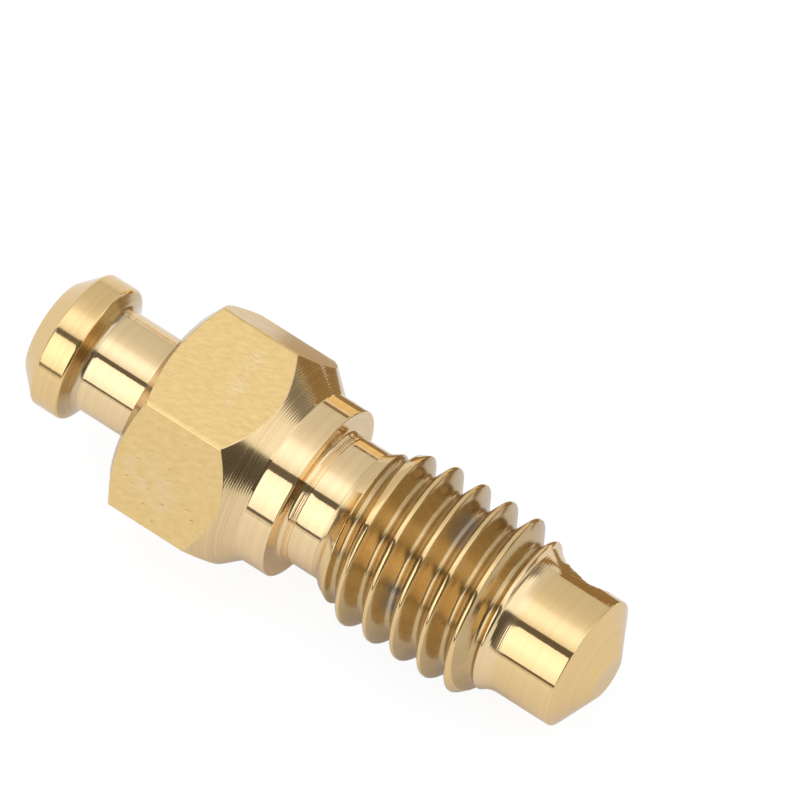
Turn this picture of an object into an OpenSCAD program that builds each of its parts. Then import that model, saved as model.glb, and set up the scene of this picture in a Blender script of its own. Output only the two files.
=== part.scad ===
// Bleeder screw: a bleed valve turned in one piece from hexagon brass bar.
// A hose slips over the nipple, a spanner turns the hexagon, and the cone at the tip
// closes the port. Backed off its seat, the screw lets fluid in through the cross hole
// and out along the axis through the nipple.
// The screw lies at rest on its side: +X runs from the nipple to the tip, +Z is up, and
// a flat of the hexagon and a crest of the thread touch z = 0.

/* [Hose nipple] */
// Diameter of the bulb that the hose grips
bulb_d = 4.6; // [4.2:0.1:5.4]
// Length of the straight land on the bulb
bulb_land = 0.9; // [0.4:0.05:1.5]
// Diameter of the flat end of the nipple
nipple_end_d = 3.1; // [2.4:0.1:3.8]
// Angle of the lead-in chamfer, from the axis
lead_angle = 45; // [30:1:60]
// Angle of the slope behind the bulb, from the axis
back_angle = 62; // [45:1:75]
// Diameter of the neck between the bulb and the hexagon
neck_d = 3.45; // [2.8:0.05:3.8]
// Length of the neck, from the slope behind the bulb to the hexagon
neck_len = 2.4; // [1:0.05:5]
// Radius in the corner behind the bulb
neck_fillet = 0.2; // [0.05:0.05:0.4]

/* [Hexagon] */
// Width across flats: a 7 mm spanner size less the bar's tolerance
hex_af = 6.95; // [6.5:0.05:9]
// Length from the nipple-side face to the foot of the cone at the collar
hex_len = 4.5; // [3.5:0.1:8]
// Diameter of the flat face on the nipple side
hex_face_d = 6.35; // [5:0.05:6.5]
// Angle of the nipple-side chamfer, from the face
hex_chamfer_angle = 32; // [15:1:45]
// Angle of the cone on the thread side, from the axis
hex_cone_angle = 41; // [30:1:60]

/* [Collar and undercut] */
// Diameter of the collar
collar_d = 5.85; // [5:0.05:6.4]
// Length of the collar
collar_len = 1; // [0.4:0.1:3]
// Diameter of the undercut before the thread
undercut_d = 4.4; // [3.6:0.1:4.6]
// Length of the undercut
undercut_len = 1.45; // [0.8:0.05:4]
// Radius in the corner under the collar
undercut_fillet = 0.15; // [0.05:0.05:0.4]
// Angle of the slope that leads out of the undercut, from the axis
runout_angle = 45; // [30:1:60]
// Diameter where that slope meets the chamfer of the thread
runout_d = 4.88; // [4.7:0.02:5.2]

/* [Thread] */
// Diameter over the crests of the M6 thread
thread_d = 5.9; // [5.7:0.05:6.3]
// Diameter at the roots
thread_root_d = 4.68; // [4.6:0.02:4.9]
// Pitch
pitch = 1; // [0.95:0.05:1.1]
// Width of the flat on a crest
crest_flat = 0.12; // [0.05:0.01:0.15]
// Length at full height
thread_full_len = 4; // [2:0.05:9]
// Angle of the chamfer at the collar end of the thread, from the axis
entry_angle = 27; // [20:1:45]
// Angle of the chamfer at the tip end of the thread, from the axis
exit_angle = 38; // [20:1:45]
// Turn of the thread around the axis, from the cross hole
thread_turn = 233; // [0:1:359]

/* [Tip] */
// Diameter of the plain tip
tip_d = 4.35; // [3.6:0.05:4.6]
// Length of the plain tip, from the thread's chamfer to the sealing cone
tip_len = 2.2; // [2.1:0.05:5]
// Radius where the thread's chamfer runs into the tip
tip_fillet = 1; // [0.2:0.1:1.2]
// Angle of the sealing cone, from the axis
seal_angle = 62; // [30:0.5:65]
// Diameter of the flat on the end of the cone
tip_end_d = 1.5; // [0.5:0.05:2.5]

/* [Bleed passage] */
// Diameter of the bore along the axis
bore_d = 1.8; // [1.6:0.1:2.2]
// Angle of the drill point that ends the bore, from the axis
drill_angle = 59; // [45:1:70]
// Diameter of the cross hole in the tip
port_d = 1.5; // [0.8:0.1:1.5]
// Distance of the cross hole from the rim of the sealing cone
port_inset = 1.35; // [0.9:0.05:1.5]
// Turn of the cross hole around the axis, from the hexagon's upper flat
port_turn = 66; // [0:1:359]

/* [Hidden] */
// round surfaces
$fn = 96;
// how far cutters and joined bodies reach past each other
reach = 0.3;
// half angle of the thread's flanks, and how finely its groove is stepped
flank_angle = 30;
steps_per_turn = 36;
root_steps = 4;

bulb_r = bulb_d / 2;
nipple_end_r = nipple_end_d / 2;
neck_r = neck_d / 2;
hex_face_r = hex_face_d / 2;
hex_apothem = hex_af / 2;
hex_corner_r = hex_apothem / cos(30);
collar_r = collar_d / 2;
undercut_r = undercut_d / 2;
runout_r = runout_d / 2;
thread_r = thread_d / 2;
root_r = thread_root_d / 2;
tip_r = tip_d / 2;
tip_end_r = tip_end_d / 2;
bore_r = bore_d / 2;

// stations along the axis, from the nipple's end
land_start = (bulb_r - nipple_end_r) / tan(lead_angle);
land_end = land_start + bulb_land;
neck_start = land_end + (bulb_r - neck_r) / tan(back_angle);
hex_start = neck_start + neck_len;
collar_start = hex_start + hex_len;
collar_end = collar_start + collar_len;
thread_start = collar_end + undercut_len;
runout_end = thread_start + (runout_r - undercut_r) / tan(runout_angle);
full_start = runout_end + (thread_r - runout_r) / tan(entry_angle);
full_end = full_start + thread_full_len;
tip_start = full_end + (thread_r - tip_r) / tan(exit_angle);
cone_start = tip_start + tip_len;
tip_end = cone_start + (tip_r - tip_end_r) / tan(seal_angle);
port_at = cone_start - port_inset;
bore_end = port_at + port_d / 2;

// thread groove: a flat-topped ridge between grooves with round roots
thread_depth = thread_r - root_r;
groove_half = (pitch - crest_flat) / 2;
root_round = (groove_half - thread_depth * tan(flank_angle)) * cos(flank_angle) / (1 - sin(flank_angle));
groove_top_half = groove_half + crest_flat / 4;
groove_top_r = thread_r + crest_flat / 4 / tan(flank_angle);
groove_from = thread_start - pitch;
groove_turns = (tip_start - thread_start) / pitch + 2;

// rest on the edge of a flat and on the last whole crest below the axis
flat_edge = collar_start - (hex_apothem - collar_r) / tan(hex_cone_angle);
down_turn = port_turn + 180 - thread_turn;
crest_below = groove_from + pitch * (down_turn / 360 + 0.5);
rest_crest = crest_below + pitch * floor((full_end - crest_below) / pitch);
rest_tilt = atan((hex_apothem - thread_r) / (rest_crest - flat_edge));
floor_drop = hex_apothem * cos(rest_tilt) + flat_edge * sin(rest_tilt);
nearest_x = -nipple_end_r * sin(rest_tilt);
farthest_x = tip_end * cos(rest_tilt) + tip_end_r * sin(rest_tilt);
middle_x = (nearest_x + farthest_x) / 2;

// Round fillet in the square corner of a shoulder at station x; way is the side of the fillet
module shoulder_fillet(r, x, f, way)
    difference() {
        translate([r - reach, min(x, x + way * f)]) square([f + reach, f]);
        translate([r + f, x + way * f]) circle(f);
    }

// Round fillet where a slope meets a cylinder of radius r at station x; way is the cylinder's side
module slope_fillet(r, x, f, slope, way) {
    tangent = f * tan(slope / 2);
    difference() {
        polygon([
            [r - reach, x],
            [r - reach, x + way * tangent],
            [r, x + way * tangent],
            [r + tangent * sin(slope), x - way * tangent * cos(slope)],
        ]);
        translate([r + f, x + way * tangent]) circle(f);
    }
}

// Half section of everything round, radius across and axis up
module turned_section() {
    polygon([
        [0, 0],
        [nipple_end_r, 0],
        [bulb_r, land_start],
        [bulb_r, land_end],
        [neck_r, neck_start],
        [neck_r, hex_start + reach],
        [collar_r, hex_start + reach],
        [collar_r, collar_end],
        [undercut_r, collar_end],
        [undercut_r, thread_start],
        [runout_r, runout_end],
        [thread_r, full_start],
        [thread_r, full_end],
        [tip_r, tip_start],
        [tip_r, cone_start],
        [tip_end_r, tip_end],
        [0, tip_end],
    ]);
    slope_fillet(neck_r, neck_start, neck_fillet, back_angle, 1);
    shoulder_fillet(undercut_r, collar_end, undercut_fillet, 1);
    slope_fillet(tip_r, tip_start, tip_fillet, exit_angle, 1);
}

// Half section that chamfers the hexagon: a shallow cone at the nipple, a steep one at the collar
module hexagon_section() {
    outer_r = hex_corner_r + reach;
    polygon([
        [0, hex_start],
        [hex_face_r, hex_start],
        [outer_r, hex_start + (outer_r - hex_face_r) * tan(hex_chamfer_angle)],
        [outer_r, collar_start - (outer_r - collar_r) / tan(hex_cone_angle)],
        [collar_r - reach, collar_start + reach / tan(hex_cone_angle)],
        [0, collar_start + reach / tan(hex_cone_angle)],
    ]);
}

module hexagon()
    intersection() {
        translate([0, 0, hex_start - reach])
            rotate(30) cylinder(r = hex_corner_r, h = hex_len + 2 * reach, $fn = 6);
        rotate_extrude() hexagon_section();
    }

// Outline of the groove, [radius, offset along the axis], from one rim round the root to the other
groove_outline = concat(
    [[groove_top_r, -groove_top_half]],
    [for (i = [0 : root_steps])
        let (a = (flank_angle - 90) + i * (180 - 2 * flank_angle) / root_steps)
        [root_r + root_round * (1 - cos(a)), root_round * sin(a)]],
    [[groove_top_r, groove_top_half]]
);

// The groove as one solid swept round the axis, right-handed
module thread_groove() {
    sides = len(groove_outline);
    rings = ceil(groove_turns * steps_per_turn);
    points = [for (k = [0 : rings], p = groove_outline)
        let (turn = 360 * k / steps_per_turn)
        [p[0] * cos(turn), p[0] * sin(turn), groove_from + pitch * k / steps_per_turn + p[1]]];
    walls = [for (k = [0 : rings - 1], i = [0 : sides - 1], half = [0, 1])
        let (a = k * sides + i, b = k * sides + (i + 1) % sides)
        half == 0 ? [a, b + sides, b] : [a, a + sides, b + sides]];
    first_cap = [for (i = [1 : sides - 2]) [0, i, i + 1]];
    last = rings * sides;
    last_cap = [for (i = [1 : sides - 2]) [last, last + i + 1, last + i]];
    polyhedron(points, concat(walls, first_cap, last_cap));
}

// Bore along the axis with its drill point, and the hole across the tip into it
module bleed_passage() {
    rotate_extrude()
        polygon([
            [0, -reach],
            [bore_r, -reach],
            [bore_r, bore_end],
            [0, bore_end + bore_r / tan(drill_angle)],
        ]);
    translate([0, 0, port_at]) rotate([0, 90, 0]) cylinder(d = port_d, h = tip_d);
}

module bleeder_screw()
    color([0.85, 0.68, 0.38])
        translate([-middle_x, 0, floor_drop])
            rotate([0, 90 + rest_tilt, 0])
                rotate(180 - port_turn)
                    difference() {
                        union() {
                            difference() {
                                rotate_extrude() turned_section();
                                rotate(thread_turn) thread_groove();
                            }
                            rotate(port_turn) hexagon();
                        }
                        bleed_passage();
                    }

bleeder_screw();
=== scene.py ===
"""Looks of a brass bleeder screw lying on a pale floor."""

import math

import bmesh
import bpy
import numpy as np
from mathutils import Matrix, Vector


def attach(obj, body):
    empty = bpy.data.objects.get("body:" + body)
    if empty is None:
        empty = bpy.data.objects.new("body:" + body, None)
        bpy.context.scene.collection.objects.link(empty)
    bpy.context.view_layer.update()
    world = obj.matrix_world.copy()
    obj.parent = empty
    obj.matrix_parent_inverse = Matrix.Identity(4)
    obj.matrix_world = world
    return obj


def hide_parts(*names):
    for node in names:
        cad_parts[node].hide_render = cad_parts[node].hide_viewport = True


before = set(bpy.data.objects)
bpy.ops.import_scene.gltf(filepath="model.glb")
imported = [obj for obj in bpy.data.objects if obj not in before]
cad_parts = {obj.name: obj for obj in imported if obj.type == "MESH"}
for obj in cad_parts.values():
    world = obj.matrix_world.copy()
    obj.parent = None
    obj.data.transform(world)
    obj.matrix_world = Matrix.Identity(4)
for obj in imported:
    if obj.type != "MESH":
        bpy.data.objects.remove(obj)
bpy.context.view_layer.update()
MM = 0.001

# Radii of the solid, in millimetres
BULB_R = 2.3
END_R = 1.55
NECK_R = 1.725
HEX_APOTHEM = 3.475
HEX_FACE_R = 3.175
COLLAR_R = 2.925
UNDERCUT_R = 2.2
RUNOUT_R = 2.44
THREAD_R = 2.95
ROOT_R = 2.34
TIP_R = 2.175
TIP_END_R = 0.75
BORE_R = 0.9
PORT_R = 0.75

# Lengths, in millimetres
BULB_LAND = 0.9
NECK_LEN = 2.4
HEX_LEN = 4.5
COLLAR_LEN = 1.0
UNDERCUT_LEN = 1.45
PITCH = 1.0
CREST_FLAT = 0.12
THREAD_FULL_LEN = 4.0
TIP_LEN = 2.2
PORT_INSET = 1.35

# Angles from the axis, but the hexagon's chamfer from its face
LEAD = math.radians(45)
BACK = math.radians(62)
HEX_CHAMFER = math.radians(32)
HEX_CONE = math.radians(41)
RUNOUT = math.radians(45)
ENTRY = math.radians(27)
EXIT = math.radians(38)
SEAL = math.radians(62)
DRILL = math.radians(59)
# Half angle between the flanks of the thread
FLANK = math.radians(30)

# Turns round the axis, in degrees from straight down
PORT_TURN = 114.0
GROOVE_TURN = 347.0

# Stations along the axis from the nipple's end
LAND_START = (BULB_R - END_R) / math.tan(LEAD)
LAND_END = LAND_START + BULB_LAND
NECK_START = LAND_END + (BULB_R - NECK_R) / math.tan(BACK)
HEX_START = NECK_START + NECK_LEN
COLLAR_START = HEX_START + HEX_LEN
COLLAR_END = COLLAR_START + COLLAR_LEN
THREAD_START = COLLAR_END + UNDERCUT_LEN
RUNOUT_END = THREAD_START + (RUNOUT_R - UNDERCUT_R) / math.tan(RUNOUT)
FULL_START = RUNOUT_END + (THREAD_R - RUNOUT_R) / math.tan(ENTRY)
FULL_END = FULL_START + THREAD_FULL_LEN
TIP_START = FULL_END + (THREAD_R - TIP_R) / math.tan(EXIT)
CONE_START = TIP_START + TIP_LEN
TIP_END = CONE_START + (TIP_R - TIP_END_R) / math.tan(SEAL)
PORT_AT = CONE_START - PORT_INSET
BORE_END = PORT_AT + PORT_R
DRILL_END = BORE_END + BORE_R / math.tan(DRILL)
GROOVE_FROM = THREAD_START - PITCH

# Rest pose: on the edge of a flat and on the last whole crest below the axis
FLAT_EDGE = COLLAR_START - (HEX_APOTHEM - COLLAR_R) / math.tan(HEX_CONE)
CREST_BELOW = GROOVE_FROM + PITCH * ((360.0 - GROOVE_TURN) / 360.0 + 0.5)
REST_CREST = CREST_BELOW + PITCH * math.floor((FULL_END - CREST_BELOW) / PITCH)
TILT = math.atan((HEX_APOTHEM - THREAD_R) / (REST_CREST - FLAT_EDGE))
FLOOR_DROP = HEX_APOTHEM * math.cos(TILT) + FLAT_EDGE * math.sin(TILT)
NEAREST_X = -END_R * math.sin(TILT)
FARTHEST_X = TIP_END * math.cos(TILT) + TIP_END_R * math.sin(TILT)
BASE = Vector((-(NEAREST_X + FARTHEST_X) / 2, 0.0, FLOOR_DROP))
AXIS = Vector((math.cos(TILT), 0.0, -math.sin(TILT)))
RISE = Vector((math.sin(TILT), 0.0, math.cos(TILT)))
SIDE = Vector((0.0, 1.0, 0.0))


def column_angles():
    """Angles of the mesh columns, closer together at the hexagon's corners."""
    half = [0.43, 0.87, 1.2, 2, 3.2, 4.7, 6.3, 8, 9.8, 11.6, 13.4, 15.2, 17, 18.8, 20.6, 22.4, 24.2, 26.1, 28]
    around = [-x for x in reversed(half)] + [0.0] + half + [30.0]
    return np.array([30.0 + 60.0 * k + x for k in range(6) for x in around])


ANGLES = column_angles()
COLUMNS = len(ANGLES)


def hexagon_radius(rounding=0.12):
    """Radius of the hexagon's outline in each column, with softened corners."""
    to_corner = ANGLES % 60.0 - 30.0
    to_flat = np.radians(30.0 - np.abs(to_corner))
    flat = HEX_APOTHEM / np.cos(to_flat)
    centre = (HEX_APOTHEM - rounding) / math.cos(math.radians(30))
    turn = np.radians(to_corner)
    inside = np.clip(rounding ** 2 - (centre * np.sin(turn)) ** 2, 0.0, None)
    soft = centre * np.cos(turn) + np.sqrt(inside)
    half_flat = (HEX_APOTHEM - rounding) * math.tan(math.radians(30))
    limit = 30.0 - math.degrees(math.atan(half_flat / HEX_APOTHEM))
    return np.where(np.abs(to_corner) < limit, soft, flat)


def softened(points, rounds, steps=3, guard=0.02):
    """Polyline through the points with round corners, and guard points beside each corner."""
    out = [np.array(points[0], float)]
    for i in range(1, len(points) - 1):
        before, here, after = (np.array(points[k], float) for k in (i - 1, i, i + 1))
        come = (here - before) / np.linalg.norm(here - before)
        go = (after - here) / np.linalg.norm(after - here)
        turn = math.acos(max(-1.0, min(1.0, float(come @ go))))
        room = 0.45 * min(np.linalg.norm(here - before), np.linalg.norm(after - here))
        tangent = min(rounds[i] * math.tan(turn / 2), room)
        radius = tangent / math.tan(turn / 2)
        first = here - come * tangent
        last = here + go * tangent
        inward = (go - come) / np.linalg.norm(go - come)
        centre = here + inward * radius / math.cos(turn / 2)
        out.append(first - come * min(guard, 0.2 * np.linalg.norm(first - before)))
        for k in range(steps + 1):
            from_first = math.sin((1 - k / steps) * turn) * (first - centre)
            from_last = math.sin(k / steps * turn) * (last - centre)
            out.append(centre + (from_first + from_last) / math.sin(turn))
        out.append(last + go * min(guard, 0.2 * np.linalg.norm(after - last)))
    out.append(np.array(points[-1], float))
    return out


def ring_rows(points):
    """One row for each point of a section that is the same all round."""
    return [(np.full(COLUMNS, p[0]), np.full(COLUMNS, p[1])) for p in points]


def between(a, b, share):
    """Row that lies a share of the way from row a to row b."""
    return (a[0] + (b[0] - a[0]) * share, a[1] + (b[1] - a[1]) * share)


def soft_edge(before, corner, after, size):
    """Five rows that round an edge whose place differs from column to column."""
    come = np.array(corner) - np.array(before)
    go = np.array(after) - np.array(corner)
    come = come / np.linalg.norm(come, axis=0)
    go = go / np.linalg.norm(go, axis=0)
    turn = np.arccos(np.clip((come * go).sum(0), -1, 1))
    inward = (go - come) / np.linalg.norm(go - come, axis=0)
    middle = np.array(corner) + inward * size * np.tan(turn / 4)
    first = np.array(corner) - come * size
    last = np.array(corner) + go * size
    edge = [first - come * 0.6 * size, first, middle, last, last + go * 0.6 * size]
    return [(r[0], r[1]) for r in edge]


# Kinds of finish, in the order of FINISHES
TURNED, FLATS, THREAD, FACED, BORE, DULL = range(6)
rows = []
zones = []


def add_rows(new_rows, zone):
    """Appends rows; the faces up to each new row get the zone."""
    for row in new_rows:
        rows.append(row)
        zones.append(zone)


# Bore from its drill point back to the nipple's end
drill_point = [(x, (DRILL_END - x) * math.tan(DRILL)) for x in (DRILL_END - 0.02, BORE_END + 0.2)]
add_rows(ring_rows(drill_point), BORE)
add_rows(ring_rows([(BORE_END, BORE_R), (BORE_END - 0.02, BORE_R)]), BORE)
add_rows(ring_rows([(x, BORE_R) for x in (16.0, 13.0, 10.0, 7.0, 4.0, 2.0, 1.0, 0.4)]), BORE)
mouth = softened([(0.4, BORE_R), (0.0, BORE_R), (0.0, 1.3)], [0, 0.05, 0], 2)
add_rows(ring_rows(mouth[1:-1]), BORE)

# Hose nipple and neck
nipple = softened(
    [
        (0.0, 1.0),
        (0.0, END_R),
        (LAND_START, BULB_R),
        (LAND_END, BULB_R),
        (NECK_START, NECK_R),
        (HEX_START, NECK_R),
        (HEX_START, HEX_FACE_R - 0.2),
    ],
    [0, 0.22, 0.09, 0.14, 0.3, 0.05, 0],
    5,
)
for x, r in nipple:
    behind_bulb = LAND_END + 0.04 < x < NECK_START + 0.12
    on_face = x > HEX_START - 0.02
    add_rows(ring_rows([(x, r)]), DULL if behind_bulb or on_face else TURNED)

# Hexagon, with its chamfers cut to the true curves
hex_r = hexagon_radius()
face_in = (np.full(COLUMNS, HEX_START), np.full(COLUMNS, HEX_FACE_R - 0.2))
face_rim = (np.full(COLUMNS, HEX_START), np.full(COLUMNS, HEX_FACE_R))
front = (HEX_START + (hex_r - HEX_FACE_R) * math.tan(HEX_CHAMFER), hex_r)
back = (COLLAR_START - (hex_r - COLLAR_R) / math.tan(HEX_CONE), hex_r)
foot = (np.full(COLUMNS, COLLAR_START), np.full(COLUMNS, COLLAR_R))
front_edge = soft_edge(face_rim, front, back, 0.03)
back_edge = soft_edge(front, back, foot, 0.025)
add_rows(soft_edge(face_in, face_rim, front, 0.02), DULL)
add_rows([between(face_rim, front, 0.5)], DULL)
add_rows(front_edge[:3], DULL)
add_rows(front_edge[3:], FLATS)
add_rows([between(front, back, k / 12) for k in range(1, 12)], FLATS)
add_rows(back_edge[:3], FLATS)
add_rows(back_edge[3:], FACED)
add_rows([between(back, foot, k) for k in (0.2, 0.35, 0.5, 0.65, 0.8, 0.92)], FACED)

# Collar, with a fillet under it, and the undercut with the tool marks beside the collar
collar = softened(
    [
        (COLLAR_START - 0.1, COLLAR_R + 0.1 * math.tan(HEX_CONE)),
        (COLLAR_START, COLLAR_R),
        (COLLAR_END, COLLAR_R),
        (COLLAR_END, UNDERCUT_R),
        (COLLAR_END + 0.62, UNDERCUT_R),
    ],
    [0, 0.06, 0.045, 0.15, 0],
    4,
)
add_rows(ring_rows(collar[1:-1]), TURNED)
# Tool marks: start from the collar, width and depth
MARKS = ((0.16, 0.07, 0.009), (0.24, 0.05, 0.006), (0.3, 0.08, 0.01))
MARK_STEPS = 6
for start, width, depth in MARKS:
    for k in range(MARK_STEPS + 1):
        mark_x = COLLAR_END + start + width * k / MARK_STEPS
        mark_r = UNDERCUT_R - depth * math.sin(math.pi * k / MARK_STEPS) ** 2
        add_rows(ring_rows([(mark_x, mark_r)]), TURNED)
add_rows(ring_rows([(COLLAR_END + 0.58, UNDERCUT_R), (THREAD_START - 0.14, UNDERCUT_R)]), TURNED)

# Blank of the thread: the turned outline that the groove is cut into
blank = softened(
    [
        (THREAD_START - 0.4, UNDERCUT_R),
        (THREAD_START, UNDERCUT_R),
        (RUNOUT_END, RUNOUT_R),
        (FULL_START, THREAD_R),
        (FULL_END, THREAD_R),
        (TIP_START, TIP_R),
        (CONE_START - 0.5, TIP_R),
    ],
    [0, 0.25, 0.4, 0.1, 0.08, 1.0, 0],
    8,
)
BLANK_X = np.array([p[0] for p in blank])
BLANK_R = np.array([p[1] for p in blank])
THREAD_FROM = THREAD_START - 0.12
THREAD_TO = TIP_START - 0.1
THREAD_TURNS = 10
GROOVE_HALF = (PITCH - CREST_FLAT) / 2
ROOT_WIDTH = GROOVE_HALF - (THREAD_R - ROOT_R) * math.tan(FLANK)
ROOT_ROUND = ROOT_WIDTH * math.cos(FLANK) / (1 - math.sin(FLANK))
# Largest rounding of a crest's edge
CREST_SOFT = 0.03
# Low round ridge along the crest that fades out at the tip
RIDGE_AT = 0.1
RIDGE_WIDTH = 0.07
RIDGE_HEIGHT = 0.06
RIDGE_FROM = FULL_END - 0.05
RIDGE_TO = THREAD_TO - 0.04
RIDGE_GROWS = 0.25
RIDGE_FADES = 0.15


def blank_radius(x):
    """Radius of the turned blank at a station."""
    return np.interp(x, BLANK_X, BLANK_R)


def groove_radius(away):
    """Radius in the thread's groove at a distance along the axis from its middle."""
    edge = ROOT_ROUND * math.cos(FLANK)
    inside = np.clip(ROOT_ROUND ** 2 - np.minimum(away, edge) ** 2, 0, None)
    root = ROOT_R + ROOT_ROUND - np.sqrt(inside)
    return root + np.clip(away - edge, 0, None) / math.tan(FLANK)


def crest_edge(middle, way, steps=200):
    """Distance from the groove's middle to where its flank leaves the blank, in each column."""
    grid = np.linspace(0.0, PITCH / 2, steps + 1)[:, None]
    below = groove_radius(grid) < blank_radius(middle[None, :] + way * grid)
    last = np.where(below.any(0), steps - np.argmax(below[::-1], axis=0), 0)
    return np.minimum(grid[np.minimum(last + 1, steps), 0], GROOVE_HALF) * below.any(0)


def ridge_height(x, crest):
    """Height of the ridge beside a crest's edge, which only the last turn has."""
    shape = np.exp(-((x - crest - RIDGE_AT) / RIDGE_WIDTH) ** 2)
    grown = np.clip((crest - RIDGE_FROM) / RIDGE_GROWS, 0, 1)
    left = np.clip((RIDGE_TO - x) / RIDGE_FADES, 0, 1)
    return np.where(x > crest + 0.01, RIDGE_HEIGHT * shape * grown * left, 0.0)


def thread_rows():
    """Rows that follow the helix: root, flank, crest and flank of each turn in each column."""
    flank_shares = (0.0, 0.1, 0.2, 0.3, 0.5, 0.75)
    out = []
    for turn in range(THREAD_TURNS):
        start = GROOVE_FROM + PITCH * ((ANGLES - GROOVE_TURN) / 360.0 + turn)
        end = start + PITCH
        rise_edge = crest_edge(start, 1)
        fall_edge = crest_edge(end, -1)
        soft_a = np.minimum(CREST_SOFT, 0.3 * rise_edge)
        soft_b = np.minimum(CREST_SOFT, 0.3 * fall_edge)
        crest = start + rise_edge
        crest_end = end - fall_edge
        middle = (crest + crest_end) / 2
        places = [(start + rise_edge * s, 0.0) for s in flank_shares]
        places += [(crest - soft_a, 0.0), (crest, soft_a), (crest + soft_a, 0.0)]
        places += [(np.minimum(crest + k, middle), 0.0) for k in (0.06, 0.1, 0.14, 0.18, 0.23)]
        places += [(middle, 0.0)]
        places += [(crest_end - soft_b, 0.0), (crest_end, soft_b), (crest_end + soft_b, 0.0)]
        places += [(end - fall_edge * s, 0.0) for s in flank_shares[:0:-1]]
        for x, soft in places:
            away = np.minimum(np.abs(x - start), np.abs(end - x))
            r = np.minimum(groove_radius(away), blank_radius(x)) - 0.6 * soft
            r = r + ridge_height(x, crest)
            x = np.clip(x, THREAD_FROM, THREAD_TO)
            r = np.where((x <= THREAD_FROM) | (x >= THREAD_TO), blank_radius(x), r)
            out.append((x, r))
    return out


thread_first = len(rows)
thread_sheet = thread_rows()
PER_TURN = len(thread_sheet) // THREAD_TURNS
# Rows of a turn that end a face on its crest
CREST_ROWS = range(8, 17)
for number, row in enumerate(thread_sheet):
    add_rows([row], TURNED if number % PER_TURN in CREST_ROWS else THREAD)
thread_last = len(rows)

# Plain tip with its sealing cone
tip = softened(
    [(CONE_START - 0.5, TIP_R), (CONE_START, TIP_R), (TIP_END, TIP_END_R), (TIP_END, 0.02)],
    [0, 0.05, 0.1, 0],
    5,
)
add_rows(ring_rows([p for p in blank[:-1] if p[0] > THREAD_TO + 0.01]), TURNED)
add_rows(ring_rows(tip), TURNED)


def row_points(x, r):
    """Points of the rows in the frame, in millimetres."""
    turn = np.radians(ANGLES)
    down = (np.cos(turn) * r)[..., None]
    side = (np.sin(turn) * r)[..., None]
    centre = np.array(BASE) + x[..., None] * np.array(AXIS)
    return centre - down * np.array(RISE) + side * np.array(SIDE)


def build_mesh():
    """Joins the rows into one closed mesh; in the thread the seam steps on by one turn."""
    x = np.array([row[0] for row in rows])
    r = np.array([row[1] for row in rows])
    count = len(rows)
    index = np.arange(count * COLUMNS).reshape(count, COLUMNS)
    faces = []
    zone_of = []
    for i in range(count - 1):
        threaded = thread_first <= i < thread_last - 1
        for j in range(COLUMNS):
            a, b = index[i, j], index[i + 1, j]
            if j + 1 < COLUMNS:
                c, d = index[i + 1, j + 1], index[i, j + 1]
            elif threaded:
                c = index[min(i + 1 + PER_TURN, thread_last - 1), 0]
                d = index[min(i + PER_TURN, thread_last - 1), 0]
            else:
                c, d = index[i + 1, 0], index[i, 0]
            faces.append((a, d, c, b))
            lead_in = threaded and x[i, j] < RUNOUT_END + 0.35 and zones[i + 1] == TURNED
            zone_of.append(FACED if lead_in else zones[i + 1])
    faces.append(tuple(index[0, :]))
    zone_of.append(BORE)
    faces.append(tuple(index[count - 1, ::-1]))
    zone_of.append(TURNED)
    mesh = bpy.data.meshes.new("screw")
    mesh.from_pydata((row_points(x, r).reshape(-1, 3) * MM).tolist(), [], faces)
    take_finishes(mesh)
    mesh.polygons.foreach_set("material_index", np.array(zone_of, np.int32))
    work = bmesh.new()
    work.from_mesh(mesh)
    bmesh.ops.remove_doubles(work, verts=work.verts, dist=2e-7)
    bmesh.ops.recalc_face_normals(work, faces=work.faces)
    work.to_mesh(mesh)
    work.free()
    return mesh


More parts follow.
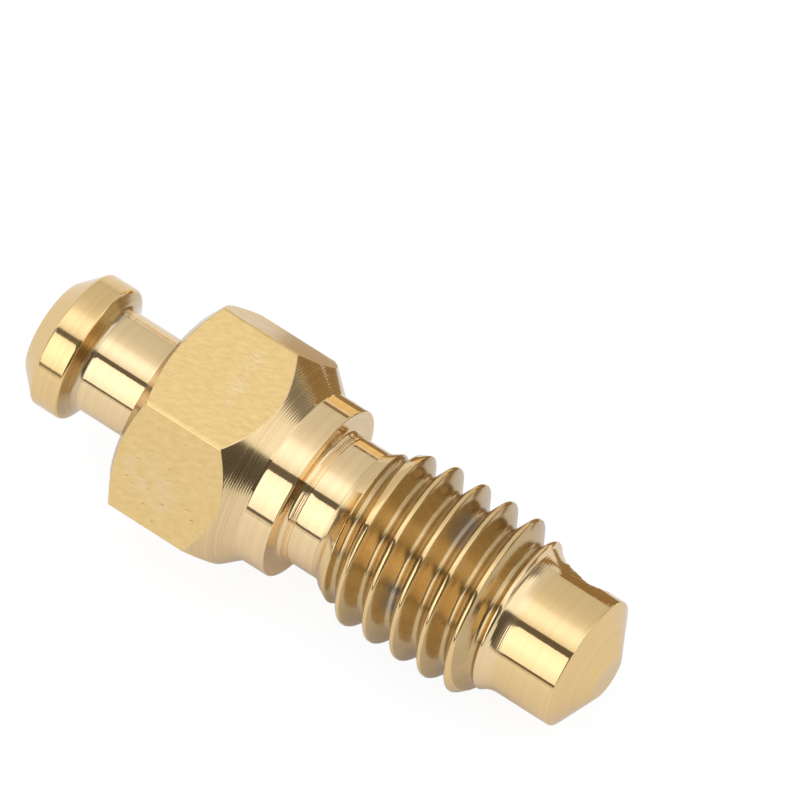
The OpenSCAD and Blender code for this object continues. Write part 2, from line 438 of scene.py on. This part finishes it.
class Nodes:
    """Short calls that add nodes to a material and link them."""

    def __init__(self, tree):
        self.tree = tree

    def add(self, kind, **settings):
        node = self.tree.nodes.new(kind)
        for name, value in settings.items():
            setattr(node, name, value)
        return node

    def link(self, out, into):
        self.tree.links.new(out, into)

    def feed(self, socket, value):
        """Links another node's output to the socket, or sets a plain value on it."""
        if isinstance(value, bpy.types.NodeSocket):
            self.link(value, socket)
        else:
            socket.default_value = value

    def put(self, node, **values):
        for name, value in values.items():
            self.feed(node.inputs[name.replace("_", " ")], value)
        return node

    def math(self, operation, a, b=0.0):
        node = self.add("ShaderNodeMath", operation=operation)
        self.feed(node.inputs[0], a)
        self.feed(node.inputs[1], b)
        return node.outputs[0]

    def plus(self, a, b):
        return self.math("ADD", a, b)

    def times(self, a, b):
        return self.math("MULTIPLY", a, b)

    def noise(self, vector, scale, detail=2.0, rough=0.5):
        node = self.add("ShaderNodeTexNoise")
        self.put(node, Vector=vector, Scale=scale, Detail=detail, Roughness=rough)
        return node.outputs["Fac"]

    def line_noise(self, along, scale, detail=2.0, rough=0.5):
        node = self.add("ShaderNodeTexNoise", noise_dimensions="1D")
        self.put(node, W=along, Scale=scale, Detail=detail, Roughness=rough)
        return node.outputs["Fac"]

    def ramp(self, value, stops):
        node = self.add("ShaderNodeValToRGB")
        node.color_ramp.elements[0].position = stops[0][0]
        node.color_ramp.elements[0].color = stops[0][1]
        node.color_ramp.elements[1].position = stops[-1][0]
        node.color_ramp.elements[1].color = stops[-1][1]
        for place, colour in stops[1:-1]:
            node.color_ramp.elements.new(place).color = colour
        self.link(value, node.inputs["Fac"])
        return node.outputs["Color"]

    def level(self, value, low, high, to_low=0.0, to_high=1.0):
        node = self.add("ShaderNodeMapRange")
        self.put(node, Value=value, From_Min=low, From_Max=high, To_Min=to_low, To_Max=to_high)
        return node.outputs["Result"]

    def mix(self, share, a, b):
        node = self.add("ShaderNodeMix", data_type="RGBA")
        for place, value in ((0, share), (6, a), (7, b)):
            self.feed(node.inputs[place], value)
        return node.outputs[2]

    def bump(self, height, distance):
        node = self.add("ShaderNodeBump")
        self.put(node, Height=height, Strength=1.0, Distance=distance)
        return node.outputs["Normal"]


def start_material(name):
    """A metal material with the screw's own coordinates in millimetres, x along its axis."""
    material = bpy.data.materials.new(name)
    material.use_nodes = True
    n = Nodes(material.node_tree)
    shader = material.node_tree.nodes["Principled BSDF"]
    shader.inputs["Metallic"].default_value = 1.0
    mapping = n.add("ShaderNodeMapping", vector_type="POINT")
    mapping.inputs["Rotation"].default_value = (0.0, -TILT, 0.0)
    mapping.inputs["Scale"].default_value = (1 / MM, 1 / MM, 1 / MM)
    mapping.inputs["Location"].default_value = (-BASE.dot(AXIS), 0.0, -BASE.dot(RISE))
    n.link(n.add("ShaderNodeTexCoord").outputs["Object"], mapping.inputs["Vector"])
    vector = mapping.outputs["Vector"]
    parts = n.add("ShaderNodeSeparateXYZ")
    n.link(vector, parts.inputs[0])
    return material, n, shader, vector, parts.outputs


def start_light(name):
    """An empty material for something that glows."""
    material = bpy.data.materials.new(name)
    material.use_nodes = True
    material.node_tree.nodes.clear()
    return material, Nodes(material.node_tree)


def grey(v):
    return (v, v, v, 1.0)


# Distance between the feed marks of a coarse cut
FEED_STEP = 0.065
# How much warmer the brass is at the ends and on the crests
GOLDEN = (0.96, 0.91, 0.76, 1)


def turned_material(name, pale, deep, rough_low, rough_high, marks, feed=0.0, wide=1.0):
    """Bright lathe finish: rings round the axis, faint stains, and feed marks where the cut was coarse."""
    material, n, shader, vector, (x, y, z) = start_material(name)
    radius = n.math("SQRT", n.plus(n.times(y, y), n.times(z, z)))
    # The rings follow the axis on round parts and the radius on faces
    lathe = n.plus(x, n.times(radius, 1.7))
    fine = n.line_noise(lathe, 28.0, 3.0, 0.6)
    broad = n.line_noise(lathe, 5.0, 2.0, 0.5)
    stain = n.noise(vector, 0.9, 3.0, 0.6)
    grit = n.noise(vector, 13.0, 2.0, 0.5)
    bulb = n.level(x, LAND_END + 0.25, LAND_END + 0.05)
    after_entry = n.level(x, RUNOUT_END + 0.05, RUNOUT_END + 0.25)
    before_exit = n.level(x, FULL_END + 0.45, FULL_END + 0.25)
    chamfer_from = n.level(x, FULL_END + 0.35, FULL_END + 0.5)
    chamfer_to = n.level(x, TIP_START + 0.36, TIP_START + 0.21)
    chamfer = n.times(chamfer_from, chamfer_to)

    tint = n.level(n.plus(n.times(fine, 0.6), n.times(broad, 0.4)), 0.35, 0.65)
    warm = n.plus(bulb, n.level(x, TIP_START + 0.06, TIP_START + 0.36, 0.0, 0.85))
    warm = n.plus(warm, n.level(x, CONE_START, CONE_START + 0.06, 0.0, 0.5))
    warm = n.plus(warm, n.times(after_entry, before_exit))
    golden = [tuple(a * b for a, b in zip(shade, GOLDEN)) for shade in (deep, pale)]
    n.put(shader, Base_Color=n.mix(warm, n.mix(tint, deep, pale), n.mix(tint, *golden)))

    rough = n.level(n.plus(fine, n.times(stain, 0.5)), 0.5, 1.0, rough_low, rough_high)
    rough = n.plus(rough, n.times(bulb, 0.05))
    n.put(shader, Roughness=n.plus(rough, n.times(chamfer, 0.06)))

    tip_feed = n.level(x, TIP_START + 0.06, TIP_START + 0.26, 0.0, 0.16)
    coarse = n.math("MAXIMUM", n.math("MAXIMUM", n.times(chamfer, 0.8), tip_feed), feed)
    wave = n.times(n.math("SINE", n.times(x, 2 * math.pi / FEED_STEP)), coarse)
    rings = n.plus(n.times(fine, 0.5), n.times(broad, wide))
    rings = n.plus(rings, n.times(wave, n.plus(n.times(fine, 0.5), 0.6)))
    rings = n.plus(rings, n.times(grit, 0.22))
    n.put(shader, Normal=n.bump(rings, marks * MM))
    return material


# Small pits seen on the hexagon: place along the axis, place round it from the top, length and depth
PITS = [
    (5.49, -2.31, 0.13, 0.6),
    (6.0, -2.3, 0.13, 0.5),
    (6.54, -2.3, 0.13, 0.5),
    (7.56, -4.48, 0.18, 1.0),
    (7.33, -4.22, 0.2, 0.7),
    (5.11, -4.35, 0.16, 0.7),
    (5.35, -4.48, 0.16, 0.6),
    (5.92, -4.87, 0.16, 0.7),
    (6.39, -5.19, 0.18, 0.6),
    (6.33, -3.29, 0.25, 0.4),
    (5.85, -4.15, 0.22, 0.4),
    (5.25, -3.58, 0.17, 0.55),
    (5.58, -3.09, 0.15, 0.5),
    (5.9, -4.36, 0.17, 0.6),
    (6.4, -3.68, 0.17, 0.55),
    (6.51, -4.54, 0.2, 0.65),
    (5.6, -4.08, 0.18, 0.55),
]
# Worn places on the hexagon, listed the same way
WORN = [
    (6.67, 0.97, 0.7, 0.8),
    (6.77, 0.06, 0.6, 0.9),
    (6.87, -0.5, 0.4, 0.6),
    (5.5, -3.9, 1.3, 0.8),
    (6.3, -4.3, 1.2, 0.8),
]
# Slant of the ridges on the drawn flats
SLANT_COS = math.cos(math.radians(22))
SLANT_SIN = math.sin(math.radians(22))


def spots(n, run, over, places, width):
    """Sum of soft elongated spots on the hexagon."""
    total = 0.0
    for x, around, size, depth in places:
        off_run = n.math("SUBTRACT", run, x * SLANT_COS + around * SLANT_SIN)
        off_over = n.math("SUBTRACT", over, around * SLANT_COS - x * SLANT_SIN)
        along = n.math("DIVIDE", off_run, size * 0.6)
        away = n.math("DIVIDE", off_over, size * width)
        far = n.plus(n.times(along, along), n.times(away, away))
        total = n.plus(total, n.level(far, 0.0, 1.0, depth, 0.0))
    return total


def flats_material(name):
    """Drawn hexagon bar: satin, with short slanting ridges, worn patches and a few pits."""
    material, n, shader, vector, (x, y, z) = start_material(name)
    around = n.times(n.math("ARCTAN2", y, z), HEX_APOTHEM)
    run = n.plus(n.times(x, SLANT_COS), n.times(around, SLANT_SIN))
    over = n.math("SUBTRACT", n.times(around, SLANT_COS), n.times(x, SLANT_SIN))
    grid = n.add("ShaderNodeCombineXYZ")
    n.link(n.times(run, 3.2), grid.inputs[0])
    n.link(n.times(over, 7.0), grid.inputs[1])
    grain = n.noise(grid.outputs[0], 1.0, 2.0, 0.5)
    cloud = n.noise(vector, 1.6, 3.0, 0.6)
    speck = n.noise(vector, 6.0, 2.0, 0.5)
    worn = n.times(spots(n, run, over, WORN, 0.6), n.level(cloud, 0.38, 0.62))
    dent = spots(n, run, over, PITS, 0.3)
    colour = n.mix(n.level(grain, 0.3, 0.7), (0.80, 0.565, 0.235, 1), (0.87, 0.63, 0.285, 1))
    colour = n.mix(n.times(worn, 0.7), colour, (0.84, 0.67, 0.42, 1))
    colour = n.mix(n.times(dent, 0.6), colour, (0.42, 0.25, 0.09, 1))
    n.put(shader, Base_Color=colour)
    n.put(shader, Roughness=n.level(cloud, 0.3, 0.7, 0.38, 0.28))
    height = n.plus(grain, n.times(speck, 0.9))
    height = n.plus(height, n.times(worn, n.level(speck, 0.4, 0.6)))
    height = n.math("SUBTRACT", height, n.times(dent, 2.5))
    n.put(shader, Normal=n.bump(height, 0.006 * MM))
    return material


# Grey stains in the thread: place along the axis, to the side and up, and size
STAINS = [
    (14.7, 0.92, 2.27, 0.65),
    (14.65, 0.24, 2.44, 0.5),
    (14.05, -2.31, 0.83, 0.5),
    (13.97, -2.02, 1.38, 0.4),
]


def thread_material(name):
    """Cut thread: satin flanks with stains that run grey in places."""
    material, n, shader, vector, _ = start_material(name)
    blotch = n.noise(vector, 0.8, 3.0, 0.6)
    grit = n.noise(vector, 7.0, 2.0, 0.5)
    colour = n.mix(n.level(blotch, 0.4, 0.6), (0.56, 0.405, 0.2, 1), (0.62, 0.45, 0.225, 1))
    colour = n.mix(n.level(blotch, 0.62, 0.8), colour, (0.5, 0.44, 0.37, 1))
    colour = n.mix(n.level(grit, 0.62, 0.3, 0.0, 0.3), colour, (0.44, 0.3, 0.13, 1))
    for *place, size in STAINS:
        away = n.add("ShaderNodeVectorMath", operation="DISTANCE")
        n.link(vector, away.inputs[0])
        away.inputs[1].default_value = place
        stain = n.level(away.outputs["Value"], 0.2 * size, size, 0.72, 0.0)
        colour = n.mix(stain, colour, (0.34, 0.315, 0.3, 1))
    n.put(shader, Base_Color=colour)
    n.put(shader, Roughness=n.level(grit, 0.3, 0.7, 0.17, 0.22))
    n.put(shader, Normal=n.bump(grit, 0.0018 * MM))
    return material


FINISHES = [
    turned_material("brass_turned", (0.90, 0.68, 0.385, 1), (0.82, 0.61, 0.33, 1), 0.03, 0.07, 0.0012),
    flats_material("brass_flats"),
    thread_material("brass_thread"),
    turned_material(
        "brass_faced", (0.84, 0.64, 0.35, 1), (0.73, 0.53, 0.27, 1), 0.12, 0.18, 0.0012, feed=0.6, wide=0.1
    ),
    turned_material("brass_bore", (0.66, 0.46, 0.2, 1), (0.5, 0.33, 0.13, 1), 0.25, 0.4, 0.004),
    turned_material("brass_dull", (0.74, 0.59, 0.37, 1), (0.61, 0.475, 0.285, 1), 0.12, 0.18, 0.002),
]


def take_finishes(mesh):
    for finish in FINISHES:
        mesh.materials.append(finish)


screw = bpy.data.objects.new("screw_body", build_mesh())
bpy.context.scene.collection.objects.link(screw)

# Direction of the cross hole, from the axis outwards
PORT_OUT = SIDE * math.sin(math.radians(PORT_TURN)) - RISE * math.cos(math.radians(PORT_TURN))
PORT_REACH = 3.2


def cut_port():
    """Drills the cross hole from the axis out through the tip."""
    radius = PORT_R * MM
    drill = bmesh.new()
    bmesh.ops.create_cone(
        drill, cap_ends=True, segments=96, radius1=radius, radius2=radius, depth=PORT_REACH * MM
    )
    place = PORT_OUT.to_track_quat("Z", "Y").to_matrix().to_4x4()
    place.translation = (BASE + AXIS * PORT_AT + PORT_OUT * PORT_REACH / 2) * MM
    bmesh.ops.transform(drill, matrix=place, verts=drill.verts)
    data = bpy.data.meshes.new("drill")
    drill.to_mesh(data)
    drill.free()
    take_finishes(data)
    data.polygons.foreach_set("material_index", np.full(len(data.polygons), BORE, np.int32))
    tool = bpy.data.objects.new("drill", data)
    bpy.context.scene.collection.objects.link(tool)
    cut = screw.modifiers.new("port", "BOOLEAN")
    cut.operation = "DIFFERENCE"
    cut.solver = "EXACT"
    cut.object = tool
    evaluated = screw.evaluated_get(bpy.context.evaluated_depsgraph_get())
    drilled = bpy.data.meshes.new_from_object(evaluated)
    screw.modifiers.clear()
    bpy.data.objects.remove(tool)
    return drilled


def raise_burr(mesh, width=0.16):
    """Lifts the rim of the cross hole where the drill left a torn lip on the thread side."""
    points = np.zeros(len(mesh.vertices) * 3)
    mesh.vertices.foreach_get("co", points)
    points = points.reshape(-1, 3) / MM
    local = points - np.array(BASE + AXIS * PORT_AT)
    x = local @ np.array(AXIS)
    y = local @ np.array(AXIS.cross(PORT_OUT))
    z = local @ np.array(PORT_OUT)
    ring = np.hypot(x, y)
    outer = (z > 1.5) & (ring < PORT_R + width) & (ring > PORT_R - 0.01)
    around = np.degrees(np.arctan2(y, -x))
    near_rim = np.clip(1 - (ring - PORT_R) / width, 0, 1) ** 1.5
    # Two torn stretches of the lip, each with its height, middle and spread in degrees, and a fine waviness
    lip = 0.05 * np.exp(-((around - 20) / 28) ** 2) + 0.03 * np.exp(-((around + 50) / 18) ** 2)
    lip = lip + 0.01 * np.sin(np.radians(around * 11)) ** 2
    lift = np.where(outer, near_rim * lip, 0)
    points = points + lift[:, None] * np.array(PORT_OUT)
    mesh.vertices.foreach_set("co", (points * MM).ravel())
    mesh.update()


screw.data = cut_port()
raise_burr(screw.data)
screw.data.shade_smooth()
screw.data.set_sharp_from_angle(angle=math.radians(42))
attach(screw, "root")
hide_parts("bleeder_screw")


# Camera at the photograph's viewing angle: turns about the screw's own directions
THETA = math.radians(14.97)
PSI = math.radians(65.85)
PHI = math.radians(32.22)
toward = RISE * math.sin(PSI) - SIDE * math.cos(PSI)
across = SIDE * math.sin(PSI) + RISE * math.cos(PSI)
along = AXIS * math.cos(THETA) - toward * math.sin(THETA)
back_way = AXIS * math.sin(THETA) + toward * math.cos(THETA)
right = along * math.cos(PHI) + across * math.sin(PHI)
up = across * math.cos(PHI) - along * math.sin(PHI)
# Point in the middle of the picture, and the camera's distance from it
LOOK_ALONG = 10.0825
LOOK_ACROSS = 3.7177
DISTANCE = 400.0
IMAGE_WIDTH = 800.0
PIXELS_PER_MM = 32.839
SENSOR = 36.0
eye = BASE + along * LOOK_ALONG + across * LOOK_ACROSS + back_way * DISTANCE
camera_data = bpy.data.cameras.new("camera")
camera_data.sensor_width = SENSOR
camera_data.lens = PIXELS_PER_MM * DISTANCE * SENSOR / IMAGE_WIDTH
camera = bpy.data.objects.new("camera", camera_data)
turned_to = Matrix((right, up, back_way)).transposed().to_4x4()
camera.matrix_world = Matrix.Translation(eye * MM) @ turned_to
bpy.context.scene.collection.objects.link(camera)
bpy.context.scene.camera = camera


def straight_rays(n):
    """One for rays that come straight or through glass from the camera, and the light path's node."""
    path = n.add("ShaderNodeLightPath")
    return n.math("MAXIMUM", path.outputs["Is Camera Ray"], path.outputs["Is Transmission Ray"]), path


def studio_floor():
    """White floor that keeps a faint shadow and is clear from below."""
    bpy.ops.mesh.primitive_plane_add(size=1.6, location=(0, 0, -0.02 * MM))
    floor = bpy.context.object
    floor.name = "floor"
    material, n = start_light("floor_white")
    seen, path = straight_rays(n)
    diffuse = n.put(n.add("ShaderNodeBsdfDiffuse"), Color=n.mix(seen, grey(0.9), grey(0.13)))
    strength = n.plus(n.times(seen, 0.91), n.times(path.outputs["Is Glossy Ray"], 0.03))
    glow = n.put(n.add("ShaderNodeEmission"), Color=grey(1.0), Strength=strength)
    mixed = n.add("ShaderNodeAddShader")
    n.link(diffuse.outputs[0], mixed.inputs[0])
    n.link(glow.outputs[0], mixed.inputs[1])
    clear = n.add("ShaderNodeBsdfTransparent")
    sided = n.add("ShaderNodeMixShader")
    n.link(n.add("ShaderNodeNewGeometry").outputs["Backfacing"], sided.inputs[0])
    n.link(mixed.outputs[0], sided.inputs[1])
    n.link(clear.outputs[0], sided.inputs[2])
    n.link(sided.outputs[0], n.add("ShaderNodeOutputMaterial").inputs["Surface"])
    floor.data.materials.append(material)


# Brightness of the tent by the angle up from the front horizon, over the top and down behind
TENT = [
    (0.0, 0.8), (3.4, 0.8), (3.8, 0.18), (9.4, 0.18), (9.8, 0.3), (55.0, 0.3), (59.5, 0.16), (69.4, 0.16),
    (70.4, 0.97), (72.2, 1.05), (78.5, 1.25), (86.0, 1.42), (94.0, 1.43), (101.0, 1.33), (106.0, 1.15),
    (111.5, 0.97), (118.5, 0.89), (126.0, 0.81), (134.0, 0.77), (150.0, 0.74), (168.0, 0.72), (180.0, 0.66),
]
# The same to the right, past the tip
TENT_RIGHT = [
    (0.0, 0.1), (60.0, 0.12), (69.6, 0.1), (71.5, 1.12), (85.0, 1.22), (147.0, 1.15), (157.0, 0.28),
    (180.0, 0.28),
]
TENT_STRENGTH = 1.5


def tent_colour(v):
    """Bright parts of the tent are a little cool and dark parts a little warm."""
    cool = min(1.0, max(0.0, (v - 0.9) / 0.5))
    warm = min(1.0, max(0.0, (0.4 - v) / 0.3))
    v = v / TENT_STRENGTH
    return (v, v * (1 + 0.03 * cool - 0.1 * warm), v * (1 + 0.12 * cool - 0.22 * warm), 1.0)


def studio_world():
    """White to the camera; around the metal a pale tent with darker seams beside the softbox."""
    world = bpy.data.worlds.new("studio")
    bpy.context.scene.world = world
    world.use_nodes = True
    n = Nodes(world.node_tree)
    background = world.node_tree.nodes["Background"]
    parts = n.add("ShaderNodeSeparateXYZ")
    n.link(n.add("ShaderNodeTexCoord").outputs["Generated"], parts.inputs[0])
    x, y, z = parts.outputs
    height = n.math("DIVIDE", n.math("ARCTAN2", z, n.times(y, -1.0)), math.pi)
    tent = n.ramp(height, [(e / 180.0, tent_colour(v)) for e, v in TENT])
    side = n.ramp(height, [(e / 180.0, tent_colour(v)) for e, v in TENT_RIGHT])
    tent = n.mix(n.level(x, 0.35, 0.6), tent, side)
    seen = straight_rays(n)[0]
    n.put(background, Color=n.mix(seen, tent, grey(1 / TENT_STRENGTH)), Strength=TENT_STRENGTH)


# Brightness of the softbox from its lower to its upper edge
SOFTBOX = [(0, 1.2), (0.3, 1.5), (0.5, 1.7), (0.8, 1.6), (1, 1.38)]
SOFTBOX_STRENGTH = 2.0


def softbox():
    """Softbox low in front, turned towards the nipple, a little dimmer at its edges; sizes in metres."""
    elevation = math.radians(34.85)
    swing = math.radians(15)
    distance = 0.3
    half_width = 0.18
    half_height = 0.29 * math.tan(math.radians(25.45))
    front = Vector((0, 0, 1)) * math.sin(elevation) - SIDE * math.cos(elevation)
    way = front * math.cos(swing) - Vector((1, 0, 0)) * math.sin(swing)
    sideways = Vector((0, 0, 1)).cross(way).normalized()
    upward = way.cross(sideways)
    bpy.ops.mesh.primitive_plane_add(size=2.0)
    panel = bpy.context.object
    panel.name = "softbox"
    panel.data.transform(Matrix.Diagonal((half_width, half_height, 1.0, 1.0)))
    stand = Matrix((sideways, upward, way)).transposed().to_4x4()
    stand.translation = way * distance
    panel.matrix_world = stand
    panel.visible_camera = False
    material, n = start_light("softbox_glow")
    parts = n.add("ShaderNodeSeparateXYZ")
    n.link(n.add("ShaderNodeTexCoord").outputs["Object"], parts.inputs[0])
    off = n.level(parts.outputs[1], -half_height, half_height)
    by_height = n.ramp(off, [(a, grey(v / SOFTBOX_STRENGTH)) for a, v in SOFTBOX])
    colour = n.mix(0.1, by_height, (0.8, 0.8, 1.2, 1.0))
    glow = n.put(n.add("ShaderNodeEmission"), Color=colour, Strength=SOFTBOX_STRENGTH)
    n.link(glow.outputs[0], n.add("ShaderNodeOutputMaterial").inputs["Surface"])
    panel.data.materials.append(material)


# How far a reflection in the round parts drifts sideways for each millimetre of distance behind them
DRIFT = -0.265
# Glow colours of the cards below, which are painted reflections and not lamps: brown paints reflected shade
# behind the screw.
REFLECTED_SHADE_BROWN = (0.33, 0.225, 0.115, 1.0)
# Gold paints a reflection of lit brass.
GOLD = (0.92, 0.7, 0.36, 1.0)
# Tan paints a paler reflection.
TAN = (0.8, 0.63, 0.4, 1.0)


def lane(left, right, near, far, level):
    """Corners of a strip of floor that the round parts between left and right reflect."""
    ends = ((left, near), (right, near), (right, far), (left, far))
    return [(x + DRIFT * y, y, level) for x, y in ends]


def upright(left, right, distance, low, high):
    """Corners of a standing strip that the round parts between left and right reflect."""
    ends = ((left, low), (right, low), (right, high), (left, high))
    return [(x + DRIFT * distance, distance, z) for x, z in ends]


def painted_reflection_card(name, corners, colour):
    """Glowing card behind the screw that only shows in the metal: a painted reflection, not a lamp."""
    data = bpy.data.meshes.new(name)
    data.from_pydata([Vector(c) * MM for c in corners], [], [(0, 1, 2, 3)])
    card = bpy.data.objects.new(name, data)
    bpy.context.scene.collection.objects.link(card)
    card.visible_camera = False
    card.visible_diffuse = False
    card.visible_shadow = False
    material, n = start_light(name)
    glow = n.put(n.add("ShaderNodeEmission"), Color=colour, Strength=1.0)
    n.link(glow.outputs[0], n.add("ShaderNodeOutputMaterial").inputs["Surface"])
    data.materials.append(material)


studio_floor()
studio_world()
softbox()
# Glowing cards seen only in the metal: brown ones paint reflected shade, the gold and tan ones paint brighter
# reflections.
painted_reflection_card("shade_card_near", lane(-4.0, 11.5, 7.2, 13.0, 0.04), REFLECTED_SHADE_BROWN)
painted_reflection_card("glint_card_gold", lane(-4.0, 1.8, 13.0, 60.0, 0.06), GOLD)
painted_reflection_card("shade_card_line", upright(-4.0, 1.8, 60.0, 4.4, 11.0), REFLECTED_SHADE_BROWN)
painted_reflection_card("card_tip", lane(5.5, 12.0, 13.0, 60.0, 0.06), REFLECTED_SHADE_BROWN)
painted_reflection_card("card_tip_back", upright(5.5, 12.0, 60.0, 0.06, 7.0), REFLECTED_SHADE_BROWN)
painted_reflection_card("reflection_card_neck", lane(-9.0, -5.0, 25.0, 60.0, 0.06), TAN)
far_corners = [(4.0, 17.0, 0.08), (34.0, 17.0, 0.08), (170.0, 160.0, 0.08), (60.0, 160.0, 0.08)]
painted_reflection_card("shade_card_far", far_corners, REFLECTED_SHADE_BROWN)
bpy.context.scene.view_settings.view_transform = "Standard"
